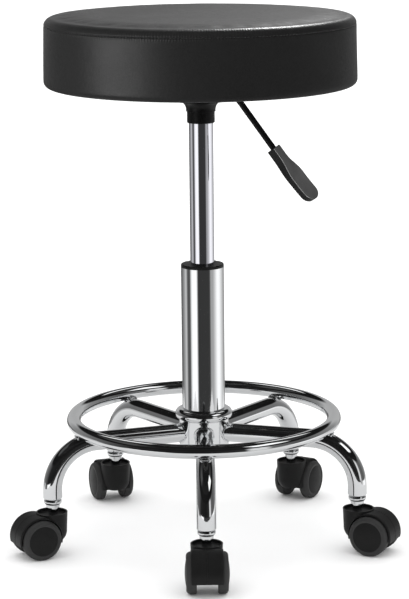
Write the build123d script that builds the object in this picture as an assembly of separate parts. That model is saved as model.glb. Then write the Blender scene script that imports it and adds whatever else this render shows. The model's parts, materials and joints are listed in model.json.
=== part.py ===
"""Adjustable swivel stool: padded round seat, gas lift, five-legged ring base on twin-wheel casters.

Millimetres, +Z up.  The origin is on the floor, on the column's axis.  The front leg points to -Y.
"""
from build123d import *
import os
from math import cos, radians, sin, sqrt

os.makedirs("parts", exist_ok=True)

# ---- driving dimensions ------------------------------------------------------------------
# base
LEG_NAMES = ("front", "right", "back_right", "back_left", "left")
FRONT_LEG_AZIMUTH = -89.5
LEG_STEP = 360 / len(LEG_NAMES)
LEG_R = 11.0
LEG_WALL = 1.5
LEG_REACH = 185.9
LEG_BEND_R = 54.0
LEG_END_Z = 67.0
SPOKE_Z = 130.5
SOCKET_DEPTH = 8.5
RING_R = 153.0
RING_TUBE_R = 8.0
RING_WALL = 1.5
RING_VENT_R = 2.0
HUB_R = 29.0
HUB_BOTTOM_Z = 108.0
HUB_TOP_Z = 159.0
HUB_LIP_R = 6.4

# gas lift
COLUMN_R = 25.0
COLUMN_WALL = 1.8
COLUMN_BOTTOM_Z = 109.0
COLUMN_TOP_Z = 327.5
BUSH_TOP_Z = 331.0
BUSH_LENGTH = 75.0
BUSH_SCALLOPS = 4
CYLINDER_R = 14.0
CYLINDER_WALL = 1.6
CYLINDER_BOTTOM_Z = 268.0
CYLINDER_TOP_Z = 518.0
ROD_R = 5.0
ROD_END_Z = 104.5
PISTON_TOP_Z = 300.0
PIN_R = 4.0
PIN_DOME_R = 4.5
RUNNING_FIT = 0.05

# seat
SEAT_R = 179.5
SEAT_UNDER_Z = 539.5
SEAT_TOP_Z = 618.5
SEAM_Z = 609.0
SEAT_EDGE_R = 10.0
SEAT_FOOT_R = 7.5
LEATHER = 1.0
BOARD = 12.0
HEM_R = 150.0
PLATE_SIDE = 150.0
PLATE = 3.0
SCREW_SPACING = 110.0
SCREW_R = 3.0

# height lever
LEVER_AZIMUTH = -39.2
LEVER_R = 3.5
LEVER_Z = 528.9
LEVER_PIVOT = 32.25
LEVER_BEND_AT = 52.0
LEVER_DROP = Vector(0.578, -0.106, -0.809).normalized()
HANDLE_FACE = Vector(0.577, -0.700, 0.500)
HANDLE_AT = 72.0
HANDLE_LENGTH = 74.0
HANDLE_REACH_RIGHT = 12.5
HANDLE_REACH_LEFT = 9.0
HANDLE_COLLAR = 12.0
HANDLE_BORE = 14.0
HANDLE_EDGE_R = 0.8

# casters: twin wheels behind a swivel stem
CASTER_HEADINGS = {"front": -89.0, "right": -26.0, "back_right": 60.0, "back_left": 109.0, "left": 206.0}
TRAIL = 21.5
WHEEL_R = 23.5
WHEEL_CORE_R = 17.5
WHEEL_INSIDE = 11.9
WHEEL_OUTSIDE = 25.0
WHEEL_DOME = 2.1
TREAD_EDGE = 18.5
AXLE_R = 3.0
HOOD_R = 26.5
HOOD_HALF_WIDTH = 18.3
HOOD_WEB = 10.9
HOOD_FOOT_Z = 17.5
HOOD_CORNER_R = 2.4
WHEEL_WELL_R = 25.0
NECK_R = 18.2
NECK_AHEAD = 1.5
NECK_WAIST_R = 17.2
NECK_WAIST_Z = 28.0
NECK_FOOT_R = 12.0
NECK_TOP_Z = 51.0
STEM_R = 5.5
COLLAR_R = 10.3
COLLAR_BOTTOM_Z = 60.0
COLLAR_EDGE_R = 3.2
WASHER = 3.0

BOTTOM_UP = (Align.CENTER, Align.CENTER, Align.MIN)


# ---- helpers -----------------------------------------------------------------------------
def save(name, shape):
    export_step(shape, f"parts/{name}.step")


def upright(radius, bottom, top, inner=0.0):
    """A round bar, or a tube, standing on the axis between two heights."""
    bar = Pos(0, 0, bottom) * Cylinder(radius, top - bottom, align=BOTTOM_UP)
    if inner:
        bar -= Pos(0, 0, bottom) * Cylinder(inner, top - bottom, align=BOTTOM_UP)
    return bar


def turned(*curves):
    """A solid of revolution about Z from closed curves drawn in (radius, height)."""
    edges = [edge for curve in curves for edge in curve.edges()]
    return revolve(Plane.XZ * make_face(edges), Axis.Z)


def polar(azimuth, radius=LEG_REACH):
    """The place at a radius and an azimuth round the column."""
    return Rot(0, 0, azimuth) * Pos(radius, 0, 0)


def leg_azimuth(name):
    return FRONT_LEG_AZIMUTH + LEG_STEP * LEG_NAMES.index(name)


def on_every_leg(solid):
    """Copies of a solid, modelled on the Z axis, at the foot of each leg."""
    return Compound([polar(leg_azimuth(name)) * solid for name in LEG_NAMES])


# ---- base --------------------------------------------------------------------------------
def leg():
    """A tube that leaves the hub level and bends down to the caster, drawn along +X."""
    start = (HUB_R / 2, 0, SPOKE_Z)
    path = FilletPolyline(start, (LEG_REACH, 0, SPOKE_Z), (LEG_REACH, 0, LEG_END_Z), radius=LEG_BEND_R)
    section = Circle(LEG_R) - Circle(LEG_R - LEG_WALL)
    tube = sweep(Plane(origin=start, x_dir=(0, 1, 0), z_dir=(1, 0, 0)) * section, path=path)
    tube -= upright(HUB_R, HUB_BOTTOM_Z, HUB_TOP_Z)
    foot = tube.edges().group_by(Axis.Z)[0].sort_by(SortBy.LENGTH)[-1]
    return chamfer(foot, LEG_WALL / 2)


def ring_height():
    """The foot ring lies on the legs where they start to bend down."""
    bend_x = LEG_REACH - LEG_BEND_R
    spacing = LEG_BEND_R + LEG_R + RING_TUBE_R
    return SPOKE_Z - LEG_BEND_R + sqrt(spacing**2 - (RING_R - bend_x) ** 2)


def foot_ring():
    """A hollow ring with the small vent underneath that plated tube needs."""
    tube = Torus(RING_R, RING_TUBE_R) - Torus(RING_R, RING_TUBE_R - RING_WALL)
    vent = Pos(RING_R, 0, -RING_TUBE_R) * Cylinder(RING_VENT_R, RING_TUBE_R)
    vent = Rot(0, 0, FRONT_LEG_AZIMUTH + LEG_STEP / 2) * vent
    return Pos(0, 0, ring_height()) * (tube - vent)


def hub():
    """A short socket for the column, with a rolled lip at its top."""
    lip_x = COLUMN_R + HUB_LIP_R / 3
    lip_z = HUB_TOP_Z - HUB_LIP_R
    neck_z = lip_z - sqrt(HUB_LIP_R**2 - (HUB_R - lip_x) ** 2)
    lip = ThreePointArc((HUB_R, neck_z), (lip_x + HUB_LIP_R, lip_z), (lip_x, HUB_TOP_Z))
    rest = Polyline(
        (lip_x, HUB_TOP_Z),
        (COLUMN_R, HUB_TOP_Z),
        (COLUMN_R, HUB_BOTTOM_Z),
        (HUB_R - 1.5, HUB_BOTTOM_Z),
        (HUB_R, HUB_BOTTOM_Z + 1.5),
        (HUB_R, neck_z),
    )
    return turned(lip, rest)


def leg_socket():
    """The plug in a leg's end that grips the caster's stem."""
    return upright(LEG_R - LEG_WALL, LEG_END_Z, LEG_END_Z + SOCKET_DEPTH, inner=STEM_R)


# ---- casters -----------------------------------------------------------------------------
def caster_stem():
    """A grip stem with a collar, which stays in the leg while the caster turns on it."""
    pin = upright(STEM_R, NECK_TOP_Z - 24, LEG_END_Z + SOCKET_DEPTH - 1)
    collar = upright(COLLAR_R, COLLAR_BOTTOM_Z, LEG_END_Z)
    collar = fillet(collar.edges(), COLLAR_EDGE_R)
    washer = upright(COLLAR_R - 2.4, COLLAR_BOTTOM_Z - WASHER, COLLAR_BOTTOM_Z)
    return pin + collar + washer


def across(radius, half_width):
    """A cylinder along the axle's line, for a caster that trails towards +X."""
    return Pos(TRAIL, 0, WHEEL_R) * Rot(90, 0, 0) * Cylinder(radius, 2 * half_width)


def hood_neck():
    """A cup that narrows a little, then turns in to its foot."""
    waist, foot = (NECK_WAIST_R, NECK_WAIST_Z), (NECK_FOOT_R, HOOD_FOOT_Z)
    down = (NECK_WAIST_R - NECK_R, NECK_WAIST_Z - NECK_TOP_Z)
    turn_in = TangentArc(waist, foot, tangent=down)
    rest = Polyline(foot, (0, HOOD_FOOT_Z), (0, NECK_TOP_Z), (NECK_R, NECK_TOP_Z), waist)
    return Pos(NECK_AHEAD, 0, 0) * turned(turn_in, rest)


def hood():
    """Neck and fender in one moulding, with a well on each side for a wheel."""
    fender = across(HOOD_R, HOOD_HALF_WIDTH)
    fender = fillet(fender.edges().filter_by(GeomType.CIRCLE), HOOD_CORNER_R)
    fender -= Box(200, 200, 2 * HOOD_FOOT_Z)
    body = hood_neck() + fender
    for side in (-1, 1):
        well = Pos(TRAIL, side * (HOOD_WEB + 10), WHEEL_R) * Rot(90, 0, 0) * Cylinder(WHEEL_WELL_R, 20)
        body -= well
    body -= Pos(NECK_AHEAD, 0, 0) * upright(NECK_R - 1.6, NECK_TOP_Z - 3, NECK_TOP_Z)
    body -= upright(STEM_R + RUNNING_FIT, NECK_TOP_Z - 24.5, NECK_TOP_Z)
    return body - across(AXLE_R, HOOD_WEB + 1)


def wheel_core():
    """A domed disc with a blind bore, drawn on Z with the caster's middle plane at zero."""
    dome_r = (WHEEL_CORE_R**2 + WHEEL_DOME**2) / (2 * WHEEL_DOME)
    middle = WHEEL_CORE_R / 2
    middle_z = WHEEL_OUTSIDE - dome_r + sqrt(dome_r**2 - middle**2)
    rim_z = WHEEL_OUTSIDE - WHEEL_DOME
    dome = ThreePointArc((WHEEL_CORE_R, rim_z), (middle, middle_z), (0, WHEEL_OUTSIDE))
    bore_r = AXLE_R + RUNNING_FIT
    rest = Polyline(
        (0, WHEEL_OUTSIDE),
        (0, rim_z - 0.3),
        (bore_r, rim_z - 0.3),
        (bore_r, WHEEL_INSIDE - 0.6),
        (2 * AXLE_R, WHEEL_INSIDE - 0.6),
        (2 * AXLE_R, WHEEL_INSIDE + 1),
        (WHEEL_CORE_R, WHEEL_INSIDE + 1),
        (WHEEL_CORE_R, rim_z),
    )
    return turned(dome, rest)


def tyre():
    """A soft tread ring with a rounded shoulder that runs on into the wheel's dome."""
    rim_z = WHEEL_OUTSIDE - WHEEL_DOME
    tread_edge = (WHEEL_R, TREAD_EDGE)
    shoulder_end = (WHEEL_CORE_R + 2.3, rim_z + 0.5)
    shoulder = TangentArc(tread_edge, shoulder_end, tangent=(0, 1))
    rest = Polyline(
        shoulder_end,
        (WHEEL_CORE_R, rim_z),
        (WHEEL_CORE_R, WHEEL_INSIDE),
        (WHEEL_R - 1.2, WHEEL_INSIDE),
        (WHEEL_R, WHEEL_INSIDE + 1.2),
        tread_edge,
    )
    return turned(shoulder, rest)


def caster_place(name):
    """From a caster that trails towards +X, at the origin, to its place under a leg."""
    x, y = polar(leg_azimuth(name)).position.X, polar(leg_azimuth(name)).position.Y
    return Pos(x, y, 0) * Rot(0, 0, CASTER_HEADINGS[name])


# ---- gas lift ----------------------------------------------------------------------------
def outer_column():
    """The stand tube, with the end plate that the piston rod hangs in."""
    tube = upright(COLUMN_R, COLUMN_BOTTOM_Z, COLUMN_TOP_Z, inner=COLUMN_R - COLUMN_WALL)
    plate = upright(COLUMN_R - COLUMN_WALL, COLUMN_BOTTOM_Z, COLUMN_BOTTOM_Z + 3, inner=ROD_R + 0.3)
    return tube + plate


def guide_bush():
    """The plastic liner that the cylinder slides in, with a scalloped cap on the column."""
    liner_r = COLUMN_R - COLUMN_WALL
    liner = upright(liner_r, BUSH_TOP_Z - BUSH_LENGTH, COLUMN_TOP_Z)
    cap = upright(COLUMN_R, COLUMN_TOP_Z, BUSH_TOP_Z)
    cap = fillet(cap.edges().group_by(Axis.Z)[-1], 1.2)
    bush = liner + cap - upright(CYLINDER_R + RUNNING_FIT, 0, BUSH_TOP_Z)
    scallop = Pos(COLUMN_R, 0, BUSH_TOP_Z) * Cylinder(2.2, 3)
    for number in range(BUSH_SCALLOPS):
        bush -= Rot(0, 0, 45 + number * 360 / BUSH_SCALLOPS) * scallop
    return bush


def thrust_bearing():
    """Two races with balls between them, on the column's end plate."""
    bottom = COLUMN_BOTTOM_Z + 3
    lower = upright(11, bottom, bottom + 1.6, inner=ROD_R + 0.5)
    upper = Pos(0, 0, 4.4) * lower
    ball = Pos(8.2, 0, bottom + 3) * Sphere(1.4)
    balls = [Rot(0, 0, turn * 36) * ball for turn in range(10)]
    return Compound([lower, upper] + balls)


def piston_rod():
    """The rod that stands on the bearing and is clipped under the column's end plate."""
    flange_z = COLUMN_BOTTOM_Z + 9.3
    rod = upright(ROD_R, ROD_END_Z, PISTON_TOP_Z - 1)
    rod += upright(9, flange_z, flange_z + 2)
    return rod - upright(ROD_R + 1, 106.6, 107.8, inner=ROD_R - 1)


def rod_clip():
    """A round-ended clip in the rod's groove."""
    ring = upright(8, 106.6, 107.8, inner=ROD_R - 1)
    return ring - Pos(8, 0, 107.2) * Box(10, 5, 3)


def rubber_buffer():
    bottom = COLUMN_BOTTOM_Z + 11.3
    return upright(11, bottom, bottom + 7, inner=ROD_R)


def piston():
    return upright(CYLINDER_R - CYLINDER_WALL - RUNNING_FIT, PISTON_TOP_Z - 12, PISTON_TOP_Z - 1, inner=ROD_R)


def gas_cylinder():
    """The pressure tube, closed at its top round the release pin."""
    tube = upright(CYLINDER_R, CYLINDER_BOTTOM_Z, CYLINDER_TOP_Z)
    tube -= upright(CYLINDER_R - CYLINDER_WALL, 0, CYLINDER_TOP_Z - 13)
    return tube - upright(PIN_R + RUNNING_FIT, 0, CYLINDER_TOP_Z)


def rod_guide():
    bore = ROD_R + RUNNING_FIT
    return upright(CYLINDER_R - CYLINDER_WALL, CYLINDER_BOTTOM_Z, CYLINDER_BOTTOM_Z + 16, inner=bore)


def release_pin():
    """A domed pin that the lever's end presses down."""
    top = LEVER_Z - LEVER_R - 0.1
    shoulder = top - PIN_DOME_R + sqrt(PIN_DOME_R**2 - PIN_R**2)
    half = PIN_R / 2
    half_z = top - PIN_DOME_R + sqrt(PIN_DOME_R**2 - half**2)
    dome = ThreePointArc((PIN_R, shoulder), (half, half_z), (0, top))
    foot = CYLINDER_TOP_Z - 22
    return turned(dome, Polyline((0, top), (0, foot), (PIN_R, foot), (PIN_R, shoulder)))


# ---- seat --------------------------------------------------------------------------------
def seat_socket():
    """The socket on the cylinder's top, which opens out into the lever's housing."""
    flare_r = 11.0
    step_r, step_z = 17.0, 510.5
    housing_r, plate_z = 34.0, SEAT_UNDER_Z - PLATE
    corner = flare_r * (1 - cos(radians(45)))
    flare = ThreePointArc(
        (step_r, step_z),
        (step_r + corner, step_z + flare_r - corner),
        (step_r + flare_r, step_z + flare_r),
    )
    rest = Polyline(
        (step_r + flare_r, step_z + flare_r),
        (housing_r, step_z + flare_r),
        (housing_r, plate_z),
        (housing_r - 3.5, plate_z),
        (housing_r - 3.5, 523.4),
        (18, 523.4),
        (18, CYLINDER_TOP_Z + 0.5),
        (CYLINDER_R, CYLINDER_TOP_Z + 0.5),
        (CYLINDER_R, 495.8),
        (step_r - 1.6, 495.8),
        (step_r - 1, 496.4),
        (step_r - 1, 508.5),
        (step_r, 509.1),
        (step_r, step_z),
    )
    lever_hole = Rot(0, 0, LEVER_AZIMUTH) * Pos(LEVER_PIVOT, 0, LEVER_Z) * Rot(0, 90, 0) * Cylinder(4, 8)
    return turned(flare, rest) - lever_hole


def at_screws(solid):
    """Copies of a solid, modelled on the Z axis, at the plate's four screws."""
    return [place * solid for place in GridLocations(SCREW_SPACING, SCREW_SPACING, 2, 2)]


def seat_plate():
    """A square plate with rounded corners, screwed under the seat board."""
    outline = RectangleRounded(PLATE_SIDE, PLATE_SIDE, 18)
    plate = Pos(0, 0, SEAT_UNDER_Z - PLATE) * extrude(outline, PLATE)
    return plate - at_screws(upright(SCREW_R + 0.3, SEAT_UNDER_Z - PLATE, SEAT_UNDER_Z))


def plate_screw():
    """A hexagon-headed screw with a flange."""
    plate_z = SEAT_UNDER_Z - PLATE
    head = Pos(0, 0, plate_z - 5) * extrude(RegularPolygon(5, 6), 4)
    flange = upright(7, plate_z - 1.2, plate_z)
    return head + flange + upright(SCREW_R, plate_z - 1, SEAT_UNDER_Z + LEATHER + BOARD - 2)


def t_nut():
    """A flanged barrel nut let into the board from above."""
    board_top = SEAT_UNDER_Z + LEATHER + BOARD
    barrel = upright(4.5, SEAT_UNDER_Z + LEATHER + 1, board_top)
    flange = upright(9.5, board_top - 1.5, board_top)
    return barrel + flange - upright(SCREW_R, SEAT_UNDER_Z, board_top)


def seat_form(inset):
    """The whole seat as one rounded disc, drawn in by an inset."""
    form = upright(SEAT_R - inset, SEAT_UNDER_Z + inset, SEAT_TOP_Z - inset)
    form = fillet(form.edges().group_by(Axis.Z)[-1], SEAT_EDGE_R - inset)
    return fillet(form.edges().group_by(Axis.Z)[0], SEAT_FOOT_R - inset)


def seat_board():
    """A plywood disc with a hole and a recess for each nut."""
    board = split(seat_form(LEATHER), Plane.XY.offset(SEAT_UNDER_Z + LEATHER + BOARD), keep=Keep.BOTTOM)
    hole = upright(SCREW_R, SEAT_UNDER_Z, SEAT_UNDER_Z + LEATHER + BOARD)
    return board - at_screws(hole + t_nut())


def seat_foam():
    return split(seat_form(LEATHER), Plane.XY.offset(SEAT_UNDER_Z + LEATHER + BOARD), keep=Keep.TOP)


def seat_cover():
    """The sewn top panel, down to the seam."""
    return split(seat_form(0) - seat_form(LEATHER), Plane.XY.offset(SEAM_Z), keep=Keep.TOP)


def seat_band():
    """The side band, which turns under the board and is stapled there."""
    skin = split(seat_form(0) - seat_form(LEATHER), Plane.XY.offset(SEAM_Z), keep=Keep.BOTTOM)
    return skin - upright(HEM_R, SEAT_UNDER_Z, SEAT_UNDER_Z + LEATHER)


def dust_cover():
    """The cloth that closes the underside between the hems."""
    disc = upright(HEM_R, SEAT_UNDER_Z, SEAT_UNDER_Z + LEATHER)
    return disc - at_screws(upright(SCREW_R, SEAT_UNDER_Z, SEAT_UNDER_Z + LEATHER))


# ---- height lever ------------------------------------------------------------------------
def lever_point(reach):
    """A point on the lever's level stretch, by its distance from the column's axis."""
    return Vector(reach, 0, LEVER_Z).rotate(Axis.Z, LEVER_AZIMUTH)


def lever_rod():
    """A bar from over the release pin, out through the housing, then down to the handle."""
    start, bend = lever_point(-4), lever_point(LEVER_BEND_AT)
    path = FilletPolyline(start, bend, bend + LEVER_DROP * (HANDLE_AT + HANDLE_BORE), radius=12)
    return sweep(Plane(origin=start, z_dir=bend - start) * Circle(LEVER_R), path=path)


def lever_handle():
    """A paddle with a square collar; its outline and its side view are cut from one block."""
    half_collar = HANDLE_COLLAR / 2
    right, left = HANDLE_REACH_RIGHT, -HANDLE_REACH_LEFT
    tip, middle = HANDLE_LENGTH - (right - left) / 2, (right + left) / 2
    edges = []
    for start, end in ((half_collar, right), (-half_collar, left)):
        edges.append(Line((0, start), (13, start)))
        edges.append(Spline((13, start), (27, (start + end) / 2), (42, end), tangents=((1, 0), (1, 0))))
        edges.append(Line((42, end), (tip, end)))
    edges.append(Line((0, -half_collar), (0, half_collar)))
    edges.append(ThreePointArc((tip, left), (HANDLE_LENGTH, middle), (tip, right)))
    outline = extrude(make_face(edges), 2 * HANDLE_COLLAR, both=True)
    top = Spline((13, half_collar), (40, 5.2), (HANDLE_LENGTH, 8.5), tangents=((1, 0), (1, 0.2)))
    under = Spline((15, -half_collar), (40, -4), (HANDLE_LENGTH, 0), tangents=((1, 0), (1, 0.2)))
    side_view = [
        Polyline((13, half_collar), (0, half_collar), (0, -half_collar), (15, -half_collar)),
        Line((HANDLE_LENGTH, 8.5), (HANDLE_LENGTH, 0)),
        top,
        under,
    ]
    side_edges = [edge for curve in side_view for edge in curve.edges()]
    profile = extrude(Plane.XZ * make_face(side_edges), 2 * HANDLE_COLLAR, both=True)
    paddle = outline & profile
    paddle = fillet(paddle.edges(), HANDLE_EDGE_R)
    paddle -= Rot(0, 90, 0) * Cylinder(LEVER_R, HANDLE_BORE, align=BOTTOM_UP)
    neck = lever_point(LEVER_BEND_AT) + LEVER_DROP * HANDLE_AT
    face = HANDLE_FACE - LEVER_DROP * HANDLE_FACE.dot(LEVER_DROP)
    return Plane(origin=neck, x_dir=LEVER_DROP, z_dir=face) * paddle


# ---- write every sub-part ----------------------------------------------------------------
def write_base():
    save("hub", hub())
    one_leg = leg()
    for name in LEG_NAMES:
        save(f"leg_{name}", Rot(0, 0, leg_azimuth(name)) * one_leg)
    save("foot_ring", foot_ring())
    save("leg_sockets", on_every_leg(leg_socket()))
    save("caster_stems", on_every_leg(caster_stem()))


def write_casters():
    one_hood, axle = hood(), across(AXLE_R, WHEEL_OUTSIDE - WHEEL_DOME - 0.7)
    core, tread = wheel_core(), tyre()
    sides = {"a": Pos(TRAIL, 0, WHEEL_R) * Rot(90, 0, 0), "b": Pos(TRAIL, 0, WHEEL_R) * Rot(-90, 0, 0)}
    for name in LEG_NAMES:
        place = caster_place(name)
        save(f"hood_{name}", place * one_hood)
        save(f"axle_{name}", place * axle)
        for side, turn in sides.items():
            save(f"wheel_{name}_{side}", place * turn * core)
            save(f"tyre_{name}_{side}", place * turn * tread)


def write_gas_lift():
    save("outer_column", outer_column())
    save("guide_bush", guide_bush())
    save("thrust_bearing", thrust_bearing())
    save("piston_rod", piston_rod())
    save("rod_clip", rod_clip())
    save("rubber_buffer", rubber_buffer())
    save("piston", piston())
    save("gas_cylinder", gas_cylinder())
    save("rod_guide", rod_guide())
    save("release_pin", release_pin())


def write_seat():
    save("seat_socket", seat_socket())
    save("seat_plate", seat_plate())
    save("plate_screws", Compound(at_screws(plate_screw())))
    save("t_nuts", Compound(at_screws(t_nut())))
    save("seat_board", seat_board())
    save("seat_foam", seat_foam())
    save("seat_cover", seat_cover())
    save("seat_band", seat_band())
    save("dust_cover", dust_cover())
    save("lever_rod", lever_rod())
    save("lever_handle", lever_handle())


write_base()
write_casters()
write_gas_lift()
write_seat()
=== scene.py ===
import json
import math

import bpy
import numpy as np
from mathutils import Matrix, Vector


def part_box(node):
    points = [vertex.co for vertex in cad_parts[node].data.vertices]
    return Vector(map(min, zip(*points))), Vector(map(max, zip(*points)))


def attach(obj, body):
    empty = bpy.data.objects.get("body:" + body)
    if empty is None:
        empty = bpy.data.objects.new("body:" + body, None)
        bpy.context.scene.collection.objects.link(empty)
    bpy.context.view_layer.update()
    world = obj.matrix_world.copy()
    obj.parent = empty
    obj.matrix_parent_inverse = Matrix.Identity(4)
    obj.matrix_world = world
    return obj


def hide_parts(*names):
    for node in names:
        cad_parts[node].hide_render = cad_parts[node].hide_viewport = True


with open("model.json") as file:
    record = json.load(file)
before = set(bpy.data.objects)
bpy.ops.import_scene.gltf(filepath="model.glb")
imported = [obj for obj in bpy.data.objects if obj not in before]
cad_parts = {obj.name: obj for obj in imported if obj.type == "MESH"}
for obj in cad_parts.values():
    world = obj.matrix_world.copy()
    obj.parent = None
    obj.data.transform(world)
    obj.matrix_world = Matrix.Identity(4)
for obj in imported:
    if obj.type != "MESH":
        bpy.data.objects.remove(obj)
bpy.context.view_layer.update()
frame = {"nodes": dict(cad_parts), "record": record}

scene = bpy.context.scene
NODES = frame["nodes"]
RECORD = frame["record"]
SEAT_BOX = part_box("seat_band")
COVER_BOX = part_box("seat_cover")
SEAM_Z = SEAT_BOX[1].z
HEM_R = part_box("dust_cover")[1].x
LEG_NAMES = ("front", "right", "back_right", "back_left", "left")
LEG_TOP_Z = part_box("leg_front")[1].z

# Dimensions in metres that the boxes don't give, as in the part's source, and the slope of
# the legs under the foot ring in degrees.
LEG_R = 0.011
HUB_WALL = 0.004
STEM_REACH = 0.1859
HOOD_R = 0.0265
RING_LEAN = 16.8

# ---- camera ------------------------------------------------------------------------------
CAMERA_PITCH = math.radians(11.69)
CAMERA_ROLL = math.radians(-0.567)
CAMERA_YAW = math.radians(-0.044)
CAMERA_DISTANCE = 2.7252
CAMERA_HEIGHT = 0.852
CAMERA_LENS = 143.5


def make_camera():
    """A long lens, a little above the seat, looking down at the stool from its front leg's side."""
    forward = Vector((0, math.cos(CAMERA_PITCH), -math.sin(CAMERA_PITCH)))
    right = Vector((1, 0, 0))
    up = right.cross(forward)
    rolled_right = right * math.cos(CAMERA_ROLL) + up * math.sin(CAMERA_ROLL)
    rolled_up = up * math.cos(CAMERA_ROLL) - right * math.sin(CAMERA_ROLL)
    axes = Matrix((rolled_right, rolled_up, -forward)).transposed().to_4x4()
    place = Matrix.Translation((0, -CAMERA_DISTANCE, CAMERA_HEIGHT)) @ Matrix.Rotation(CAMERA_YAW, 4, "Z")
    camera = bpy.data.objects.new("camera", bpy.data.cameras.new("camera"))
    camera.matrix_world = place @ axes
    camera.data.lens = CAMERA_LENS
    camera.data.sensor_width = 36
    camera.data.clip_end = 100
    scene.collection.objects.link(camera)
    scene.camera = camera


# ---- node graphs -------------------------------------------------------------------------
class Graph:
    """A small helper that adds and joins shader nodes."""

    def __init__(self, tree):
        self.tree = tree

    def add(self, kind, inputs=None, **settings):
        """A new node, with its settings, and its inputs set or linked."""
        node = self.tree.nodes.new("ShaderNode" + kind)
        for key, value in settings.items():
            setattr(node, key, value)
        for key, value in (inputs or {}).items():
            if isinstance(value, bpy.types.NodeSocket):
                self.tree.links.new(value, node.inputs[key])
            else:
                node.inputs[key].default_value = value
        return node

    def math(self, operation, a, b=0.0):
        return self.add("Math", {0: a, 1: b}, operation=operation).outputs[0]

    def span(self, value, low, high, out_low=0.0, out_high=1.0, kind="SMOOTHSTEP"):
        """The value, carried from one range to another."""
        inputs = {"Value": value, "From Min": low, "From Max": high, "To Min": out_low, "To Max": out_high}
        return self.add("MapRange", inputs, interpolation_type=kind).outputs["Result"]

    def mix(self, factor, a, b):
        """The colour between a and b, by the factor."""
        node = self.add("Mix", data_type="RGBA")
        for key, value in (("Factor_Float", factor), ("A_Color", a), ("B_Color", b)):
            socket = next(s for s in node.inputs if s.identifier == key)
            if isinstance(value, bpy.types.NodeSocket):
                self.tree.links.new(value, socket)
            else:
                socket.default_value = value
        return next(s for s in node.outputs if s.identifier == "Result_Color")

    def noise(self, vector, scale, detail=3.0, roughness=0.5):
        inputs = {"Vector": vector, "Scale": scale, "Detail": detail, "Roughness": roughness}
        return self.add("TexNoise", inputs).outputs["Fac"]

    def ramp(self, value, stops):
        """A colour ramp of greys: (place, grey) pairs."""
        node = self.add("ValToRGB", {"Fac": value})
        elements = node.color_ramp.elements
        while len(elements) < len(stops):
            elements.new(0.5)
        for element, (place, level) in zip(elements, stops):
            element.position = place
            element.color = grey(level)
        return node.outputs["Color"]

    def bump(self, height, strength, distance, below=None):
        inputs = {"Height": height, "Strength": strength, "Distance": distance}
        if below is not None:
            inputs["Normal"] = below
        return self.add("Bump", inputs).outputs["Normal"]


def grey(level):
    """A grey as a colour with alpha."""
    return (level, level, level, 1)


# ---- stage -------------------------------------------------------------------------------
FLOOR_HALF = 30.0
FLOOR_GREY = 0.93
BACKDROP_GREY = 0.98


def sheet(name, half, height, level):
    """A flat matt square, level with the floor."""
    corners = [(-half, -half, height), (half, -half, height), (half, half, height), (-half, half, height)]
    mesh = bpy.data.meshes.new(name)
    mesh.from_pydata(corners, [], [(0, 1, 2, 3)])
    made = bpy.data.objects.new(name, mesh)
    scene.collection.objects.link(made)
    paint = bpy.data.materials.new(name)
    paint.use_nodes = True
    shader = paint.node_tree.nodes["Principled BSDF"]
    shader.inputs["Base Color"].default_value = grey(level)
    shader.inputs["Roughness"].default_value = 1.0
    shader.inputs["Specular IOR Level"].default_value = 0.0
    mesh.materials.append(paint)
    return made


def make_floor():
    """A pale floor, as far as the eye sees."""
    floor = sheet("floor", FLOOR_HALF, 0, FLOOR_GREY)
    floor.visible_glossy = False


# What polished metal sees round the stool, as (degrees from the camera's side, grey) pairs:
# low boxes below the horizon, the walls at eye level, and strips overhead.
STUDIO_LOW = (
    (-180, 0.10), (-141, 0.11), (-118, 0.27), (-100, 0.50), (-93, 0.22), (-86, 0.07), (-72, 0.08),
    (-64, 0.65), (-58, 0.90), (-34, 0.98), (-29, 0.40), (-24, 0.032), (33, 0.033), (39, 0.06),
    (44, 0.30), (58, 0.34), (70, 0.58), (84, 0.90), (99, 0.90), (116, 0.62), (141, 0.31), (180, 0.13),
)
STUDIO_WALLS = (
    (-180, 0.33), (-152, 0.36), (-135, 0.20), (-100, 0.10), (-86, 0.075), (-62, 0.014), (-40, 0.010),
    (0, 0.008), (34, 0.02), (39, 0.60), (52, 0.60), (58, 0.12), (86, 0.075), (135, 0.20),
    (152, 0.36), (180, 0.33),
)
STUDIO_STRIPS = (
    (-180, 0.01), (-166, 0.01), (-163, 0.9), (-150, 0.9), (-147, 0.01), (-98, 0.06),
    (-80, 0.06), (-60, 0.01), (46, 0.01), (50, 1.0), (88, 1.0),
    (92, 0.04), (145, 0.01), (148, 0.9), (160, 0.9), (163, 0.01), (180, 0.01),
)
LOW_TOP = (-6.2, -4.8)
WALLS_TOP = (20, 26)
STRIP_BOTTOM = (38, 41)
STRIP_TOP = (57, 60)
CEILING_GREY = 0.006
STUDIO_LIGHT = 1.35
DOME_LIGHT = 1.26
DOME_GREYS = (0.85, 1.25)
PAPER_HALF = 0.55
PAPER_HEIGHT = 0.0002
PAPER_GREY = 0.60


def make_paper():
    """The near part of the studio floor, which only polished surfaces see."""
    paper = sheet("studio_paper", PAPER_HALF, PAPER_HEIGHT, PAPER_GREY)
    paper.visible_camera = False
    paper.visible_diffuse = False
    paper.visible_shadow = False


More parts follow.
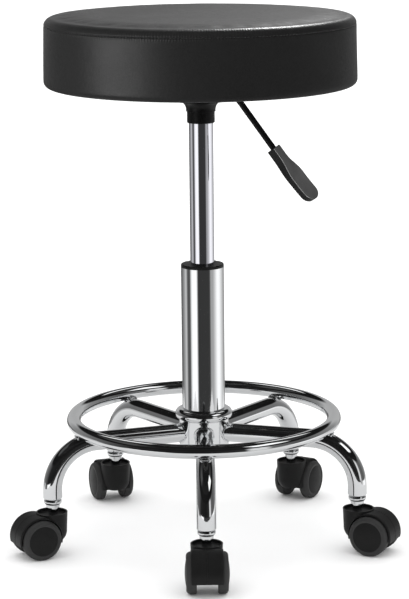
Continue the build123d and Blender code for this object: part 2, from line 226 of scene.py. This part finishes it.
def studio_world():
    """A white backdrop for the eye, a white dome for soft light, a studio for polished surfaces."""
    world = bpy.data.worlds.new("studio")
    world.use_nodes = True
    scene.world = world
    graph = Graph(world.node_tree)
    background = world.node_tree.nodes["Background"]
    direction = graph.add("SeparateXYZ", {0: graph.add("TexCoord").outputs["Generated"]}).outputs
    toward_camera = graph.math("MULTIPLY", direction["Y"], -1.0)
    azimuth = graph.math("DEGREES", graph.math("ARCTAN2", direction["X"], toward_camera))
    elevation = graph.math("DEGREES", graph.math("ARCSINE", direction["Z"]))
    around = graph.span(azimuth, -180, 180, kind="LINEAR")
    low, walls, strips = (
        graph.ramp(around, [((place + 180) / 360, level) for place, level in stops])
        for stops in (STUDIO_LOW, STUDIO_WALLS, STUDIO_STRIPS)
    )
    over_bottom, over_top = graph.span(elevation, *STRIP_BOTTOM), graph.span(elevation, *STRIP_TOP)
    ceiling = graph.mix(graph.math("SUBTRACT", over_bottom, over_top), grey(CEILING_GREY), strips)
    upper = graph.mix(graph.span(elevation, *WALLS_TOP), walls, ceiling)
    studio = graph.mix(graph.span(elevation, *LOW_TOP), low, upper)
    dome = graph.mix(graph.span(direction["Z"], -0.2, 1.0), *(grey(level) for level in DOME_GREYS))
    rays = graph.add("LightPath").outputs
    light = graph.mix(rays["Is Glossy Ray"], dome, studio)
    seen = graph.mix(rays["Is Camera Ray"], light, grey(BACKDROP_GREY))
    world.node_tree.links.new(seen, background.inputs["Color"])
    strength = graph.span(rays["Is Glossy Ray"], 0, 1, DOME_LIGHT, STUDIO_LIGHT, kind="LINEAR")
    world.node_tree.links.new(strength, background.inputs["Strength"])


# Small studio lights: place in metres, size in metres, power in watts.
KEY_LIGHT = ((0.56, 1.62, 2.30), 0.30, 88)
LEFT_FILL = ((-2.5, -1.5, 0.60), 1.9, 130)
HANDLE_LIGHT = ((1.55, -1.75, 1.75), 0.8, 330)


def area_light(name, target, place, size, power):
    """A square light that looks at the target."""
    lamp = bpy.data.lights.new(name, "AREA")
    lamp.energy = power
    lamp.size = size
    light = bpy.data.objects.new(name, lamp)
    light.location = place
    light.rotation_euler = (Vector(target) - Vector(place)).to_track_quat("-Z", "Y").to_euler()
    scene.collection.objects.link(light)
    return light


def flag_light(light, thing):
    """Keeps a light off everything but one object."""
    flagged = bpy.data.collections.new(light.name + "_falls_on")
    flagged.objects.link(thing)
    light.light_linking.receiver_collection = flagged


def light_details(cushion):
    """The seat's key light and left fill, and a small light for the handle's broad face."""
    seat_middle = (0, 0, SEAT_BOX[1].z)
    handle_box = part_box("lever_handle")
    handle_middle = (handle_box[0] + handle_box[1]) / 2
    flag_light(area_light("key_light", seat_middle, *KEY_LIGHT), cushion)
    flag_light(area_light("left_fill", seat_middle, *LEFT_FILL), cushion)
    flag_light(area_light("handle_light", handle_middle, *HANDLE_LIGHT), NODES["lever_handle"])


def clear_ring_from_mirrors():
    """Keeps the foot ring out of the mirror images in the column and the legs."""
    NODES["foot_ring"].visible_glossy = False


def make_stage():
    make_floor()
    make_paper()
    studio_world()
    scene.view_settings.view_transform = "Standard"


# ---- materials ---------------------------------------------------------------------------
def new_material(name, base, roughness, metallic=0.0, **sockets):
    """A Principled material, with object coordinates for its procedural detail."""
    material = bpy.data.materials.new(name)
    material.use_nodes = True
    graph = Graph(material.node_tree)
    shader = material.node_tree.nodes["Principled BSDF"]
    shader.inputs["Base Color"].default_value = base
    shader.inputs["Roughness"].default_value = roughness
    shader.inputs["Metallic"].default_value = metallic
    for key, value in sockets.items():
        shader.inputs[key.replace("_", " ")].default_value = value
    coords = graph.add("TexCoord").outputs["Object"]
    return material, graph, shader, coords


def join(graph, socket, shader, name):
    """Links a socket to an input of the shader."""
    graph.tree.links.new(socket, shader.inputs[name])


def scratches(graph, coords, stretch, scale):
    """Fine hairlines: noise pulled out along one axis, cut to its thin peaks."""
    pulled = graph.add("Mapping", {"Vector": coords, "Scale": stretch}).outputs[0]
    return graph.span(graph.noise(pulled, scale, detail=6, roughness=0.7), 0.62, 0.72)


def chrome_material(name, base):
    """Bright plate: barely uneven, with polishing haze and a few hairlines."""
    material, graph, shader, coords = new_material(name, base, 0.05, metallic=1.0)
    haze = graph.span(graph.noise(coords, 45, detail=4), 0.3, 0.8, 0.03, 0.075)
    hairlines = scratches(graph, coords, (1.0, 1.0, 9.0), 140)
    rough = graph.math("ADD", haze, graph.math("MULTIPLY", hairlines, 0.07))
    join(graph, rough, shader, "Roughness")
    tone = graph.noise(coords, 12, detail=2)
    bright = tuple(min(1.0, c * 1.05) for c in base[:3]) + (1,)
    join(graph, graph.mix(tone, base, bright), shader, "Base Color")
    ripple = graph.noise(coords, 160, detail=2)
    join(graph, graph.bump(ripple, 0.02, 0.0004), shader, "Normal")
    return material


def zinc_material():
    """Zinc plate: a soft blue and straw bloom over fine crystals."""
    base, straw = (0.42, 0.43, 0.45, 1), (0.50, 0.47, 0.38, 1)
    material, graph, shader, coords = new_material("zinc_steel", base, 0.3, metallic=1.0)
    bloom = graph.span(graph.noise(coords, 90, detail=3), 0.4, 0.65)
    join(graph, graph.mix(bloom, base, straw), shader, "Base Color")
    crystals = graph.noise(coords, 1600, detail=2)
    join(graph, graph.span(crystals, 0.3, 0.7, 0.2, 0.42), shader, "Roughness")
    join(graph, graph.bump(crystals, 0.15, 0.0001), shader, "Normal")
    return material


def plastic_material(name, level, roughness, texture_scale=900.0, texture=0.35, specular=0.3):
    """Moulded plastic or rubber with a fine spark-eroded texture and faint rub marks."""
    material, graph, shader, coords = new_material(
        name, grey(level), roughness, Specular_IOR_Level=specular
    )
    cloud = graph.noise(coords, 30, detail=3)
    rubbed = scratches(graph, coords, (6.0, 1.0, 1.0), 60)
    tone = graph.mix(cloud, grey(level * 0.8), grey(level * 1.25))
    worn = graph.math("MULTIPLY", rubbed, 0.3)
    join(graph, graph.mix(worn, tone, grey(level * 2.2)), shader, "Base Color")
    join(graph, graph.span(cloud, 0.25, 0.75, roughness - 0.06, roughness + 0.07), shader, "Roughness")
    grain = graph.noise(coords, texture_scale, detail=2)
    join(graph, graph.bump(grain, texture, 0.00025), shader, "Normal")
    return material


def powder_coat_material():
    """Satin black powder coat: orange peel over a slight sparkle."""
    material, graph, shader, coords = new_material(
        "powder_coat", grey(0.004), 0.34, Specular_IOR_Level=0.15
    )
    peel = graph.noise(coords, 420, detail=1)
    specks = graph.span(graph.noise(coords, 2600, detail=1), 0.66, 0.74)
    join(graph, graph.mix(specks, grey(0.004), grey(0.02)), shader, "Base Color")
    join(graph, graph.span(peel, 0.3, 0.7, 0.28, 0.42), shader, "Roughness")
    join(graph, graph.bump(peel, 0.3, 0.0003), shader, "Normal")
    return material


PUCKERS = 360
LEATHER_LEVEL = 0.011


def seam_puckers(graph, coords):
    """Short gathers that the thread pulls into the leather, strongest at the seam."""
    place = graph.add("SeparateXYZ", {0: coords}).outputs
    angle = graph.math("ARCTAN2", place["Y"], place["X"])
    wander = graph.math("MULTIPLY", graph.noise(coords, 55, detail=2), 9.0)
    wave = graph.math("SINE", graph.math("ADD", graph.math("MULTIPLY", angle, PUCKERS), wander))
    above = graph.math("SUBTRACT", place["Z"], SEAM_Z)
    near = graph.math("MULTIPLY", graph.span(above, -0.006, -0.0005), graph.span(above, 0.0115, 0.002))
    return graph.math("MULTIPLY", wave, near)


def leather_material():
    """Black grained upholstery leather: pebbles, fine creases, and gathers along the seam."""
    material, graph, shader, coords = new_material(
        "leather", grey(LEATHER_LEVEL), 0.42, Specular_IOR_Level=0.09
    )
    drift = graph.add("TexNoise", {"Vector": coords, "Scale": 180.0, "Detail": 2.0}).outputs["Color"]
    pull = graph.add("VectorMath", {0: drift, "Scale": 0.0012}, operation="SCALE").outputs[0]
    bent = graph.add("VectorMath", {0: coords, 1: pull}, operation="ADD").outputs[0]
    cells = graph.add("TexVoronoi", {"Vector": bent, "Scale": 780.0}, feature="DISTANCE_TO_EDGE")
    pebble = graph.span(cells.outputs["Distance"], 0.0, 0.32)
    cloud = graph.noise(coords, 14, detail=4)
    valley = graph.mix(cloud, grey(LEATHER_LEVEL * 0.55), grey(LEATHER_LEVEL * 0.8))
    crown = graph.mix(cloud, grey(LEATHER_LEVEL * 0.9), grey(LEATHER_LEVEL * 1.25))
    join(graph, graph.mix(pebble, valley, crown), shader, "Base Color")
    worn = graph.span(cloud, 0.3, 0.7, 0.03, -0.03)
    join(graph, graph.math("ADD", graph.span(pebble, 0, 1, 0.40, 0.28), worn), shader, "Roughness")
    creases = graph.noise(coords, 260, detail=5, roughness=0.62)
    soft = graph.bump(creases, 0.25, 0.0006)
    gathers = graph.bump(seam_puckers(graph, coords), 0.3, 0.0005, below=soft)
    join(graph, graph.bump(pebble, 0.28, 0.00016, below=gathers), shader, "Normal")
    return material


def thread_material():
    """Bonded black thread, with its twist."""
    material, graph, shader, coords = new_material("bonded_thread", grey(0.014), 0.5, Sheen_Weight=0.3)
    inputs = {"Vector": coords, "Scale": 900.0, "Distortion": 1.0}
    twist = graph.add("TexWave", inputs, bands_direction="DIAGONAL").outputs["Fac"]
    join(graph, graph.bump(twist, 0.5, 0.0001), shader, "Normal")
    join(graph, graph.mix(twist, grey(0.008), grey(0.02)), shader, "Base Color")
    return material


def plywood_material():
    """Birch plywood: plies by height at the edge, growth rings across the face."""
    pale, dark = (0.55, 0.40, 0.24, 1), (0.33, 0.20, 0.10, 1)
    material, graph, shader, coords = new_material("plywood", pale, 0.65)
    plies = graph.add("TexWave", {"Vector": coords, "Scale": 130.0}, bands_direction="Z").outputs["Fac"]
    stretched = graph.add("Mapping", {"Vector": coords, "Scale": (1.0, 14.0, 1.0)}).outputs[0]
    fibres = graph.noise(stretched, 38, detail=6)
    tone = graph.math("MULTIPLY", graph.math("ADD", plies, fibres), 0.5)
    join(graph, graph.mix(tone, pale, dark), shader, "Base Color")
    join(graph, graph.bump(fibres, 0.3, 0.0004), shader, "Normal")
    return material


def dust_cloth_material():
    """Black non-woven cloth: pressed fibres with a lattice of bonding dots."""
    material, graph, shader, coords = new_material("dust_cloth", grey(0.012), 0.92, Sheen_Weight=0.25)
    fibres, crossed = (
        graph.noise(graph.add("Mapping", {"Vector": coords, "Scale": stretch}).outputs[0], 500, detail=4)
        for stretch in ((1, 6, 1), (6, 1, 1))
    )
    felt = graph.math("MAXIMUM", fibres, crossed)
    lattice = {"Vector": coords, "Scale": 420.0, "Randomness": 0.1}
    dots = graph.add("TexVoronoi", lattice).outputs["Distance"]
    pressed = graph.span(dots, 0.16, 0.30)
    join(graph, graph.mix(felt, grey(0.006), grey(0.024)), shader, "Base Color")
    height = graph.math("MULTIPLY", felt, pressed)
    join(graph, graph.bump(height, 0.8, 0.0005), shader, "Normal")
    return material


def foam_material():
    """Cut polyurethane foam: open pores."""
    material, graph, shader, coords = new_material("foam", (0.75, 0.70, 0.52, 1), 0.95)
    pores = graph.add("TexVoronoi", {"Vector": coords, "Scale": 900.0}).outputs["Distance"]
    join(graph, graph.mix(pores, (0.45, 0.40, 0.27, 1), (0.80, 0.76, 0.60, 1)), shader, "Base Color")
    join(graph, graph.bump(pores, 0.8, 0.0006), shader, "Normal")
    return material


MATERIALS = {}


def make_materials():
    """Fills MATERIALS: one for each slot, and two more for the thread and the handle."""
    MATERIALS["chrome"] = chrome_material("chrome_plate", (0.78, 0.79, 0.80, 1))
    MATERIALS["gas_tube"] = chrome_material("gas_tube_chrome", (0.74, 0.74, 0.79, 1))
    MATERIALS["plain_steel"] = zinc_material()
    MATERIALS["black_steel"] = powder_coat_material()
    MATERIALS["black_plastic"] = plastic_material("black_nylon", 0.008, 0.40, specular=0.16)
    MATERIALS["tyre"] = plastic_material("tyre_rubber", 0.026, 0.55, 700, texture=0.5)
    MATERIALS["rubber"] = plastic_material("black_rubber", 0.015, 0.7)
    MATERIALS["black_leather"] = leather_material()
    MATERIALS["thread"] = thread_material()
    MATERIALS["plywood"] = plywood_material()
    MATERIALS["foam"] = foam_material()
    MATERIALS["dust_cloth"] = dust_cloth_material()
    MATERIALS["handle"] = plastic_material("handle_plastic", 0.006, 0.40, texture=0.3, specular=0.2)


SPECIAL_NODES = {"lever_handle": "handle"}


def finish_nodes():
    """Gives every CAD node the material of its slot."""
    slots = {part["node"]: part["material_slot"] for part in RECORD["subparts"]}
    for name, node in NODES.items():
        node.data.materials.clear()
        node.data.materials.append(MATERIALS[SPECIAL_NODES.get(name, slots[name])])


# ---- mesh helpers ------------------------------------------------------------------------
def piece(name, points, faces, body, slot, material=None):
    """A smooth mesh piece that rides on a body and takes its finish from a slot."""
    mesh = bpy.data.meshes.new(name)
    mesh.from_pydata([tuple(point) for point in points], [], faces)
    mesh.polygons.foreach_set("use_smooth", [True] * len(mesh.polygons))
    mesh.materials.append(MATERIALS[material or slot])
    made = bpy.data.objects.new(name, mesh)
    scene.collection.objects.link(made)
    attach(made, body)
    return made


def tube_along(points, radii, sides=8):
    """Points and faces of a closed tube of the given radii about a line of points."""
    points = [Vector(point) for point in points]
    verts, faces = [], []
    for number, (point, radius) in enumerate(zip(points, radii)):
        ahead = points[min(number + 1, len(points) - 1)] - points[max(number - 1, 0)]
        frame_of = ahead.to_track_quat("Z", "Y")
        for side in range(sides):
            turn = 2 * math.pi * side / sides
            verts.append(point + frame_of @ Vector((radius * math.cos(turn), radius * math.sin(turn), 0)))
    for ring in range(len(points) - 1):
        low, high = ring * sides, (ring + 1) * sides
        for side in range(sides):
            after = (side + 1) % sides
            faces.append((low + side, low + after, high + after, high + side))
    faces.append(tuple(reversed(range(sides))))
    faces.append(tuple(range(len(verts) - sides, len(verts))))
    return verts, faces


def gather(parts):
    """Joins several (points, faces) lists into one."""
    verts, faces = [], []
    for more_verts, more_faces in parts:
        shift = len(verts)
        verts.extend(more_verts)
        faces.extend(tuple(index + shift for index in face) for face in more_faces)
    return verts, faces


# ---- seat cushion ------------------------------------------------------------------------
# Mesh divisions: segments round the outline, cells along each side of the top's middle grid,
# and that grid's share of the seat's radius.
SEGMENTS = 256
CELLS = SEGMENTS // 4
CORE_SHARE = 0.62

# The outline, in metres.
TOP_ROUND = 0.0098
FOOT_ROUND = 0.0068
WAIST = 0.0012
GROOVE_DEPTH = 0.0011
GROOVE_HALF = 0.0007
HEM_CLEAR = 0.0003
PLEATS = 44
PLEAT_HEIGHT = 0.0005

# The swelling: how far the cloth may move, how far in from the edge it's held back, and the
# unevenness that upholstery has.
CLOTH_FRAMES = 20
CLOTH_PRESSURE = 4.0
TOP_SWELL = 0.0022
BAND_SWELL = 0.0007
EDGE_HOLD = 0.045
TOP_UNEVEN = 0.00025
BAND_UNEVEN = 0.0003


def arc(middle, radius, start, end, steps):
    """Points of an arc in (radius, height), between two angles in degrees."""
    made = []
    for step in range(steps + 1):
        turn = math.radians(start + (end - start) * step / steps)
        made.append((middle[0] + radius * math.cos(turn), middle[1] + radius * math.sin(turn)))
    return made


def line(start, end, steps):
    """Points after the start of a straight line, up to its end."""
    shares = [step / steps for step in range(1, steps + 1)]
    return [(start[0] + (end[0] - start[0]) * t, start[1] + (end[1] - start[1]) * t) for t in shares]


def seat_outline():
    """The cushion's half section in (radius, height), from the hem to the top panel's core."""
    outer, bottom, top = SEAT_BOX[1].x, SEAT_BOX[0].z, COVER_BOX[1].z
    hem = HEM_R + HEM_CLEAR
    seam_r = outer - WAIST
    foot = arc((outer - FOOT_ROUND, bottom + FOOT_ROUND), FOOT_ROUND, -90, 0, 6)
    under = [(hem, bottom + 0.001), (hem, bottom + 0.0003), (hem + 0.0004, bottom)]
    under += line(under[-1], foot[0], 6)[:-1]
    band_top = (seam_r, SEAM_Z - 3 * GROOVE_HALF)
    band = line(foot[-1], band_top, 12)
    groove = [
        (seam_r, SEAM_Z - GROOVE_HALF),
        (seam_r - GROOVE_DEPTH, SEAM_Z - 0.2 * GROOVE_HALF),
        (seam_r - GROOVE_DEPTH, SEAM_Z + 0.2 * GROOVE_HALF),
        (seam_r - 0.0001, SEAM_Z + GROOVE_HALF),
    ]
    edge = arc((seam_r - TOP_ROUND, top - TOP_ROUND), TOP_ROUND, 12, 90, 9)
    core = CORE_SHARE * outer
    panel = line(edge[-1], (core, top), 16)
    return under + foot + band + groove + edge + panel


def disc_grid(radius, height):
    """A square grid pressed into a disc, and the order of its rim by angle from -45 degrees."""
    points, rim = [], []
    for row in range(CELLS + 1):
        for column in range(CELLS + 1):
            a, b = 2 * column / CELLS - 1, 2 * row / CELLS - 1
            reach, turn = 0.0, 0.0
            if abs(a) >= abs(b) and a != 0:
                reach, turn = a, math.pi / 4 * b / a
            elif b != 0:
                reach, turn = b, math.pi / 2 - math.pi / 4 * a / b
            points.append((radius * reach * math.cos(turn), radius * reach * math.sin(turn), height))
            if max(abs(a), abs(b)) == 1:
                rim.append(len(points) - 1)
    start = -math.pi / 4 - 1e-6
    rim.sort(key=lambda index: (math.atan2(points[index][1], points[index][0]) - start) % (2 * math.pi))
    quads = []
    for row in range(CELLS):
        for column in range(CELLS):
            corner = row * (CELLS + 1) + column
            quads.append((corner, corner + 1, corner + CELLS + 2, corner + CELLS + 1))
    return points, rim, quads


def seat_mesh():
    """The cushion before it swells: outline rings, a grid on top, and a flat fan inside."""
    outline = seat_outline()
    top = COVER_BOX[1].z
    points, rim, faces = disc_grid(CORE_SHARE * SEAT_BOX[1].x, top)
    upper = rim
    for radius, height in reversed(outline[:-1]):
        lower = list(range(len(points), len(points) + SEGMENTS))
        for segment in range(SEGMENTS):
            turn = -math.pi / 4 + 2 * math.pi * segment / SEGMENTS
            points.append((radius * math.cos(turn), radius * math.sin(turn), height))
        for segment in range(SEGMENTS):
            after = (segment + 1) % SEGMENTS
            faces.append((upper[segment], lower[segment], lower[after], upper[after]))
        upper = lower
    points.append((0, 0, outline[0][1]))
    centre = len(points) - 1
    for segment in range(SEGMENTS):
        faces.append((upper[segment], centre, upper[(segment + 1) % SEGMENTS]))
    return points, faces


def unevenness(co, size):
    """A slow, smooth unevenness over the seat, from a few fixed waves."""
    x, y, z = co[:, 0], co[:, 1], co[:, 2]
    waves = np.sin(29 * x + 3 * y + 0.7) + np.sin(33 * y - 19 * x + 2.1)
    return size * (waves + np.sin(38 * x + 31 * y + 60 * z)) / 3


def positions(mesh):
    """The mesh's points as an array of rows."""
    co = np.zeros(len(mesh.vertices) * 3)
    mesh.vertices.foreach_get("co", co)
    return co.reshape(-1, 3)


def settle(cushion):
    """Inflates the cover as cloth held at its seam and hem, and keeps a capped share of it."""
    start = positions(cushion.data)
    at_seam = np.abs(start[:, 2] - SEAM_Z) < 2.9 * GROOVE_HALF
    held = at_seam & (np.hypot(start[:, 0], start[:, 1]) > 0.9 * SEAT_BOX[1].x)
    held |= start[:, 2] < SEAT_BOX[0].z + 0.3 * FOOT_ROUND
    group = cushion.vertex_groups.new(name="held")
    group.add([int(index) for index in np.nonzero(held)[0]], 1.0, "REPLACE")
    cloth = cushion.modifiers.new("cloth", "CLOTH")
    cloth.settings.quality = 5
    cloth.settings.use_pressure = True
    cloth.settings.uniform_pressure_force = CLOTH_PRESSURE
    cloth.settings.vertex_group_mass = group.name
    cloth.settings.effector_weights.gravity = 0
    cloth.collision_settings.use_collision = False
    cloth.point_cache.frame_start = 1
    cloth.point_cache.frame_end = CLOTH_FRAMES
    for step in range(1, CLOTH_FRAMES + 1):
        scene.frame_set(step)
    swollen = cushion.evaluated_get(bpy.context.evaluated_depsgraph_get()).to_mesh()
    moved = positions(swollen) - start
    cushion.modifiers.remove(cloth)
    scene.frame_set(1)
    cap = np.where(start[:, 2] > SEAM_Z, TOP_SWELL, BAND_SWELL)
    length = np.linalg.norm(moved, axis=1) + 1e-9
    inward = (SEAT_BOX[1].x - np.hypot(start[:, 0], start[:, 1])) / EDGE_HOLD
    share = np.where(start[:, 2] > SEAM_Z, np.clip(inward, 0.1, 1), 1)
    kept = start + moved * (share * cap * np.tanh(length / cap) / length)[:, None]
    cushion.data.vertices.foreach_set("co", kept.ravel())


def pleat_hem(cushion):
    """Folds the leather into pleats where it turns under to the hem."""
    co = positions(cushion.data)
    radius = np.hypot(co[:, 0], co[:, 1])
    angle = np.arctan2(co[:, 1], co[:, 0])
    outer = SEAT_BOX[1].x - FOOT_ROUND
    underside = (co[:, 2] < SEAT_BOX[0].z + 0.0002) * (radius > HEM_R)
    near = np.clip((outer - radius) / (outer - HEM_R), 0, 1) * underside
    wave = np.sin(PLEATS * angle + 2.2 * np.sin(5 * angle)) ** 3
    co[:, 2] -= PLEAT_HEIGHT * near * (1 + wave)
    cushion.data.vertices.foreach_set("co", co.ravel())


def smooth_out(cushion):
    """One level of subdivision, written into the mesh."""
    cushion.modifiers.new("smooth", "SUBSURF").render_levels = 1
    cushion.modifiers["smooth"].levels = 1
    graph = bpy.context.evaluated_depsgraph_get()
    fine = bpy.data.meshes.new_from_object(cushion.evaluated_get(graph))
    cushion.modifiers.clear()
    cushion.data = fine
    cushion.data.name = cushion.name


def make_cushion():
    """The padded cushion: uneven, then swollen, pleated at the hem and smoothed."""
    points, faces = seat_mesh()
    cushion = piece("seat_cushion", points, faces, "seat", "black_leather")
    co = positions(cushion.data)
    top, band_foot = COVER_BOX[1].z, SEAT_BOX[0].z + FOOT_ROUND
    on_band = np.clip((SEAM_Z - co[:, 2]) / 0.01, 0, 1) * np.clip((co[:, 2] - band_foot) / 0.02, 0, 1)
    on_top = np.clip((co[:, 2] - top + 0.002) / 0.002, 0, 1)
    co[:, :2] *= (1 + unevenness(co, BAND_UNEVEN) * on_band / SEAT_BOX[1].x)[:, None]
    co[:, 2] += unevenness(co, TOP_UNEVEN) * on_top
    cushion.data.vertices.foreach_set("co", co.ravel())
    settle(cushion)
    pleat_hem(cushion)
    smooth_out(cushion)
    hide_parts("seat_cover", "seat_band", "seat_foam")
    return cushion


STITCH_PITCH = 0.0042
STITCH_LENGTH = 0.0031
THREAD_R = 0.00032


def make_stitches():
    """The seam's thread, which shows as short bars at the bottom of its groove."""
    radius = SEAT_BOX[1].x - WAIST - GROOVE_DEPTH + 0.0004
    count = round(2 * math.pi * radius / STITCH_PITCH)
    half = STITCH_LENGTH / 2 / radius
    parts = []
    for number in range(count):
        middle = 2 * math.pi * number / count
        path = []
        for share in (-1, -0.6, 0, 0.6, 1):
            turn = middle + half * share
            reach = radius - 0.0003 * share**2
            path.append((reach * math.cos(turn), reach * math.sin(turn), SEAM_Z + 0.0001 * share))
        parts.append(tube_along(path, [THREAD_R * k for k in (0.5, 0.9, 1, 0.9, 0.5)], sides=6))
    points, faces = gather(parts)
    piece("seam_stitches", points, faces, "seat", "black_leather", material="thread")


STAPLES = 52
STAPLE_CROWN = 0.0100
STAPLE_LEG = 0.002
STAPLE_WIRE = 0.00045
STAPLE_INSET = 0.0045


def make_staples():
    """Upholstery staples through the hem: flat-topped wires that sink a little into the leather."""
    radius = HEM_R + STAPLE_INSET
    bottom = SEAT_BOX[0].z - 1.6 * PLEAT_HEIGHT
    parts = []
    for number in range(STAPLES):
        turn = 2 * math.pi * (number + 0.3 * math.sin(7 * number)) / STAPLES
        skew = 0.25 * math.sin(11 * number + 1)
        along = Vector((-math.sin(turn + skew), math.cos(turn + skew), 0))
        middle = Vector((radius * math.cos(turn), radius * math.sin(turn), bottom))
        leg = Vector((0, 0, STAPLE_LEG))
        ends = [middle - along * STAPLE_CROWN / 2, middle + along * STAPLE_CROWN / 2]
        inset = along * STAPLE_WIRE * 1.5
        path = [ends[0] + leg, ends[0] + leg * 0.25, ends[0] + inset, middle, ends[1] - inset]
        path += [ends[1] + leg * 0.25, ends[1] + leg]
        parts.append(tube_along(path, [STAPLE_WIRE] * len(path), sides=6))
    points, faces = gather(parts)
    piece("hem_staples", points, faces, "seat", "plain_steel")


# ---- base details ------------------------------------------------------------------------
# Weld beads in metres: their radii, how far they stand out from a leg, and how far the ring's
# beads reach across the leg and lie along it from the contact.
BEAD_R = 0.0017
BEAD_RIPPLES = 9
HUB_BEAD_R = 0.0010
HUB_BEAD_STEPS = 48
HUB_BEAD_OUT = 0.0004
RING_BEAD_STEPS = 24
RING_BEAD_HALF = 0.0062
RING_BEAD_ALONG = 0.0052
RING_BEAD_OUT = 0.0008


def bead(points, radius=BEAD_R):
    """A weld bead along a line of points: rippled, and drawn out at its ends."""
    last = len(points) - 1
    radii = []
    for number in range(len(points)):
        share = number / last
        ripple = 1 + 0.05 * math.sin(2 * math.pi * BEAD_RIPPLES * share)
        radii.append(radius * ripple * min(1.0, 0.35 + 6 * min(share, 1 - share)))
    return tube_along(points, radii, sides=10)


def spoke_axis(name):
    """A leg's outward direction: from the column towards the lowest 2 mm of its tube."""
    co = positions(NODES["leg_" + name].data)
    foot = co[co[:, 2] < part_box("leg_" + name)[0].z + 0.002]
    return Vector((foot[:, 0].mean(), foot[:, 1].mean(), 0)).normalized()


def make_hub_welds():
    """A bead all round each leg where it enters the hub."""
    hub_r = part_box("outer_column")[1].x + HUB_WALL
    spoke_z = LEG_TOP_Z - LEG_R
    bead_r = LEG_R + HUB_BEAD_OUT
    parts = []
    for name in LEG_NAMES:
        out = spoke_axis(name)
        side = Vector((-out.y, out.x, 0))
        path = []
        for step in range(HUB_BEAD_STEPS + 1):
            turn = 2 * math.pi * step / HUB_BEAD_STEPS
            across = bead_r * math.cos(turn)
            reach = math.sqrt(hub_r**2 - across**2)
            height = Vector((0, 0, spoke_z + bead_r * math.sin(turn)))
            path.append(out * reach + side * across + height)
        parts.append(bead(path, HUB_BEAD_R))
    points, faces = gather(parts)
    piece("hub_welds", points, faces, "base", "chrome")


def make_ring_welds():
    """Two short beads where the foot ring lies on each leg, one each side of the ring."""
    ring_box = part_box("foot_ring")
    tube_r = (ring_box[1].z - ring_box[0].z) / 2
    ring_r = ring_box[1].x - tube_r
    ring_z = ring_box[0].z + tube_r
    parts = []
    for name in LEG_NAMES:
        out = spoke_axis(name)
        side = Vector((-out.y, out.x, 0))
        slope = math.radians(RING_LEAN)
        along = out * math.cos(slope) - Vector((0, 0, math.sin(slope)))
        normal = out * math.sin(slope) + Vector((0, 0, math.cos(slope)))
        contact = out * ring_r + Vector((0, 0, ring_z)) - normal * tube_r
        for way in (-1, 1):
            path = []
            for step in range(RING_BEAD_STEPS + 1):
                across = RING_BEAD_HALF * (2 * step / RING_BEAD_STEPS - 1)
                drop = LEG_R - math.sqrt(LEG_R**2 - across**2)
                place = contact + along * way * RING_BEAD_ALONG
                path.append(place + side * across + normal * (RING_BEAD_OUT - drop))
            parts.append(bead(path))
    points, faces = gather(parts)
    piece("ring_welds", points, faces, "base", "chrome")


# ---- caster details ----------------------------------------------------------------------
MOULD_LINE_R = 0.00022
MOULD_LINE_START = -12
MOULD_LINE_ARC = 100
MOULD_LINE_STEPS = 32


def make_mould_line(name):
    """The fine raised line that the mould leaves over the middle of a caster's fender."""
    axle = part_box("axle_" + name)
    middle = (axle[0] + axle[1]) / 2
    stem = spoke_axis(name) * STEM_REACH
    back = Vector((middle.x - stem.x, middle.y - stem.y, 0)).normalized()
    path = []
    for step in range(MOULD_LINE_STEPS + 1):
        turn = math.radians(MOULD_LINE_START + MOULD_LINE_ARC * step / MOULD_LINE_STEPS)
        path.append(middle + (back * math.cos(turn) + Vector((0, 0, math.sin(turn)))) * HOOD_R)
    points, faces = tube_along(path, [MOULD_LINE_R] * len(path), sides=6)
    piece("mould_line_" + name, points, faces, "caster_" + name, "black_plastic")


make_camera()
make_stage()
make_materials()
finish_nodes()
clear_ring_from_mirrors()
light_details(make_cushion())
make_stitches()
make_staples()
make_hub_welds()
make_ring_welds()
for leg_name in LEG_NAMES:
    make_mould_line(leg_name)
